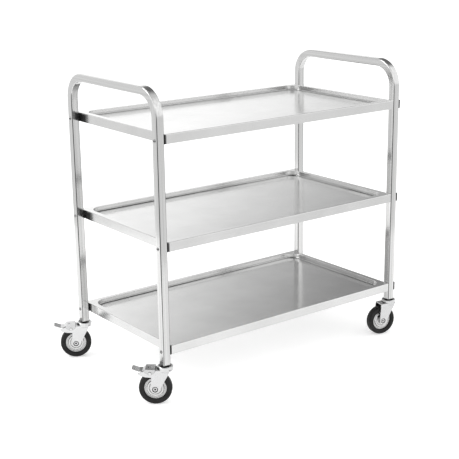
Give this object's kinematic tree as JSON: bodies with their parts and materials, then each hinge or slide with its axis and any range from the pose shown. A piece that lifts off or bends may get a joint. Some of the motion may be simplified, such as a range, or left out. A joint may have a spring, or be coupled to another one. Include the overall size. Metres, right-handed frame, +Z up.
{
  "type": "food service trolley",
  "caption": "Stainless steel catering trolley: bent tube end frames with handles, recessed shelves and swivel casters with pedal brakes.",
  "frame": {"origin": "on the floor, under the middle of the bounding box at rest, brake pedals included", "axes": "+X along the shelves towards the end with plain casters, +Y across, +Z up"},
  "size_m": [1.0396, 0.5616, 0.94],
  "materials": {
    "tube": "polished",
    "sheet": "brushed",
    "bolts": "satin",
    "zinc": "bright zinc plate",
    "plug": "satin",
    "pedal": "bright zinc plate",
    "tyre": "matt",
    "hub": "bright zinc plate"
  },
  "bodies": {
    "frame": {"left_end_frame": "tube", "right_end_frame": "tube", "bottom_tray": "sheet", "bottom_stiffener": "sheet", "bottom_tray_bolts": "bolts", "bottom_post_pads": "plug", "bottom_tray_nuts": "bolts", "middle_tray": "sheet", "middle_stiffener": "sheet", "middle_tray_bolts": "bolts", "middle_post_pads": "plug", "middle_tray_nuts": "bolts", "middle_tray_inserts": "plug", "top_tray": "sheet", "top_stiffener": "sheet", "top_tray_bolts": "bolts", "top_post_pads": "plug", "top_tray_nuts": "bolts", "top_tray_inserts": "plug", "stem_plugs": "plug", "caster_stems": "zinc", "caster_heads": "zinc", "swivel_nuts": "zinc", "swivel_balls": "bolts"},
    "pedal_lf": {"brake_pedal_lf": "pedal"},
    "swivel_lf": {"fork_lf": "zinc", "axle_rivet_lf": "zinc", "axle_sleeve_lf": "zinc", "brake_pin_lf": "zinc"},
    "wheel_lf": {"tyre_lf": "tyre", "hub_discs_lf": "hub", "hub_barrel_lf": "hub"},
    "pedal_lb": {"brake_pedal_lb": "pedal"},
    "swivel_lb": {"fork_lb": "zinc", "axle_rivet_lb": "zinc", "axle_sleeve_lb": "zinc", "brake_pin_lb": "zinc"},
    "wheel_lb": {"tyre_lb": "tyre", "hub_discs_lb": "hub", "hub_barrel_lb": "hub"},
    "swivel_rf": {"fork_rf": "zinc", "axle_rivet_rf": "zinc", "axle_sleeve_rf": "zinc"},
    "wheel_rf": {"tyre_rf": "tyre", "hub_discs_rf": "hub", "hub_barrel_rf": "hub"},
    "swivel_rb": {"fork_rb": "zinc", "axle_rivet_rb": "zinc", "axle_sleeve_rb": "zinc"},
    "wheel_rb": {"tyre_rb": "tyre", "hub_discs_rb": "hub", "hub_barrel_rb": "hub"}
  },
  "joints": [
    {"name": "swivel_lf_turn", "type": "hinge", "parent": "frame", "child": "swivel_lf", "pos_m": [-0.42866, -0.25497, 0.11], "axis": [0, 0, 1], "continuous": true},
    {"name": "wheel_lf_spin", "type": "hinge", "parent": "swivel_lf", "child": "wheel_lf", "pos_m": [-0.45197, -0.23609, 0.05], "axis": [-0.6293, -0.7771, 0], "continuous": true},
    {"name": "brake_lf_press", "type": "hinge", "parent": "swivel_lf", "child": "pedal_lf", "pos_m": [-0.46285, -0.22728, 0.1025], "axis": [-0.6293, -0.7771, 0], "range_deg": [0, 6]},
    {"name": "swivel_lb_turn", "type": "hinge", "parent": "frame", "child": "swivel_lb", "pos_m": [-0.42866, 0.22003, 0.11], "axis": [0, 0, 1], "continuous": true},
    {"name": "wheel_lb_spin", "type": "hinge", "parent": "swivel_lb", "child": "wheel_lb", "pos_m": [-0.45464, 0.23503, 0.05], "axis": [-0.5, -0.866, 0], "continuous": true},
    {"name": "brake_lb_press", "type": "hinge", "parent": "swivel_lb", "child": "pedal_lb", "pos_m": [-0.46676, 0.24203, 0.1025], "axis": [-0.5, -0.866, 0], "range_deg": [0, 6]},
    {"name": "swivel_rf_turn", "type": "hinge", "parent": "frame", "child": "swivel_rf", "pos_m": [0.49634, -0.25497, 0.11], "axis": [0, 0, 1], "continuous": true},
    {"name": "wheel_rf_spin", "type": "hinge", "parent": "swivel_rf", "child": "wheel_rf", "pos_m": [0.46711, -0.24822, 0.05], "axis": [-0.225, -0.9744, 0], "continuous": true},
    {"name": "swivel_rb_turn", "type": "hinge", "parent": "frame", "child": "swivel_rb", "pos_m": [0.49634, 0.22003, 0.11], "axis": [0, 0, 1], "continuous": true},
    {"name": "wheel_rb_spin", "type": "hinge", "parent": "swivel_rb", "child": "wheel_rb", "pos_m": [0.46815, 0.23029, 0.05], "axis": [-0.342, -0.9397, 0], "continuous": true}
  ]
}
